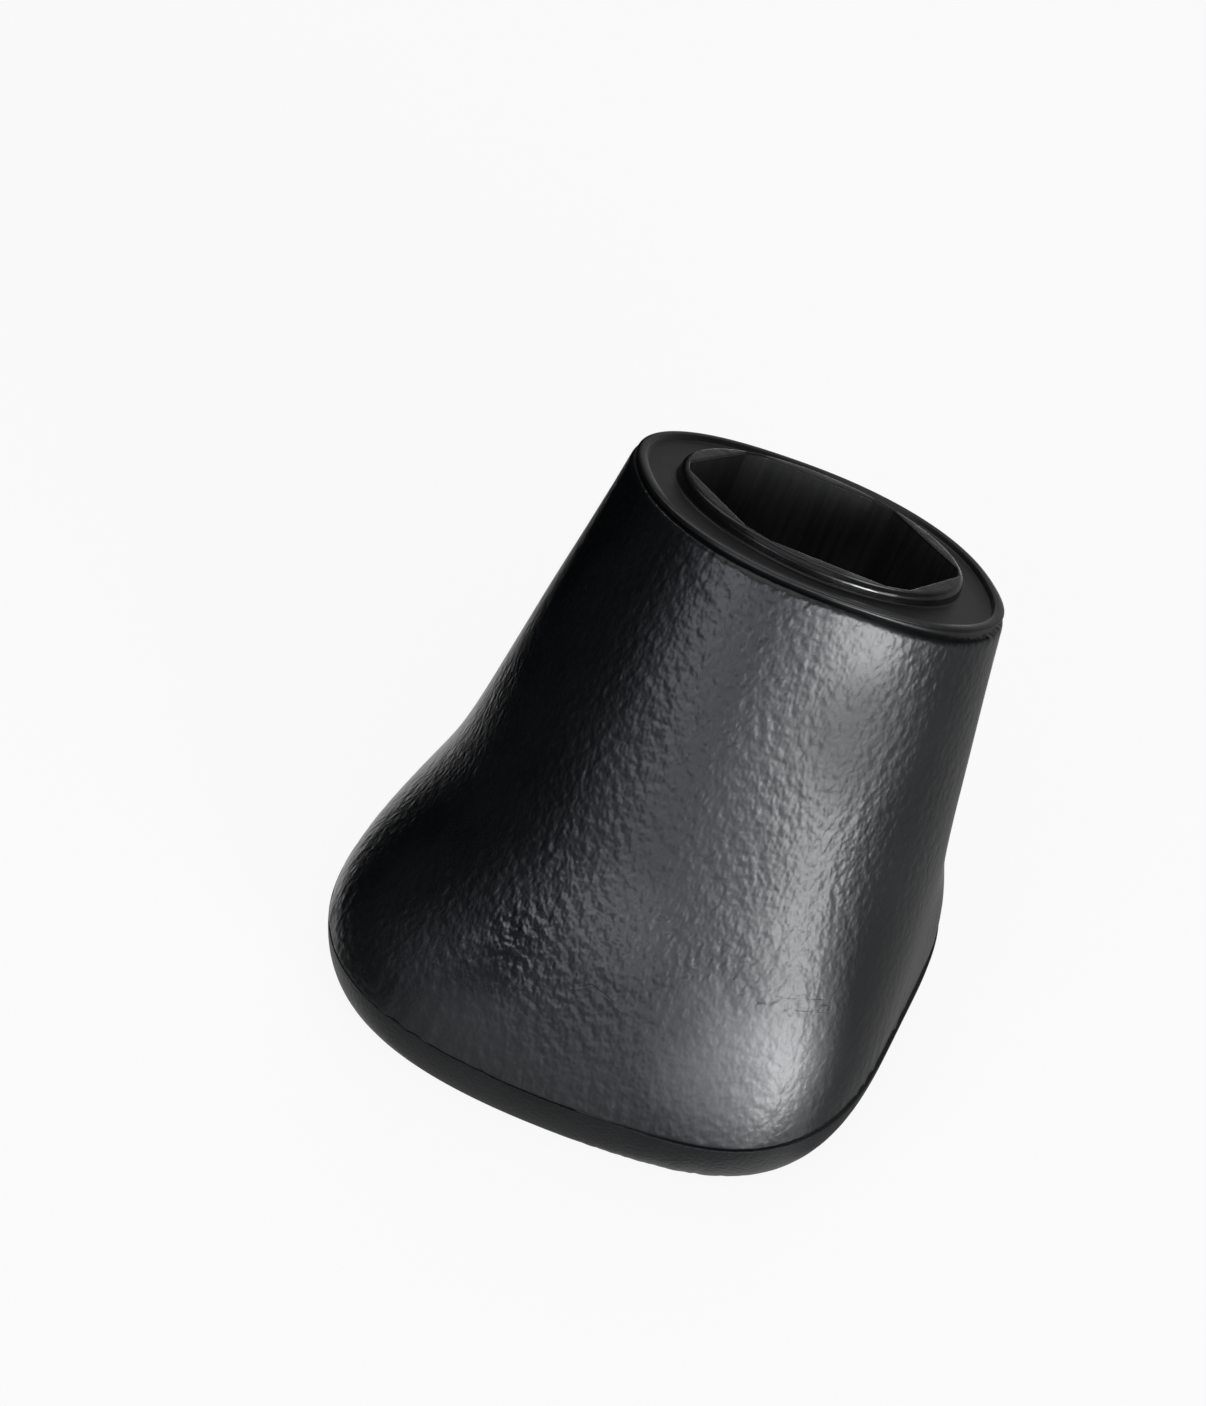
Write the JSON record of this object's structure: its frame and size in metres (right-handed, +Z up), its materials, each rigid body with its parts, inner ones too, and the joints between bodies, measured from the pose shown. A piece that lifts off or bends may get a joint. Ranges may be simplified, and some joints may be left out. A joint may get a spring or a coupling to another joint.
{
  "type": "kickstand foot",
  "caption": "Flared rubber foot for a kickstand leg, with a leaning six-sided blind socket, a raised collar at its mouth and a flat rounded-square sole.",
  "frame": {"origin": "centre of the flat contact face under the sole", "axes": "+Z up from the ground, +X to the right seen from the front, +Y to the back, where the leg socket leans"},
  "size_m": [0.0352, 0.0398, 0.0342],
  "materials": {
    "rubber": "satin, fine leather grain on the body, smooth sole, rim and collar"
  },
  "bodies": {
    "root": {"rubber_foot": "rubber"}
  },
  "joints": []
}
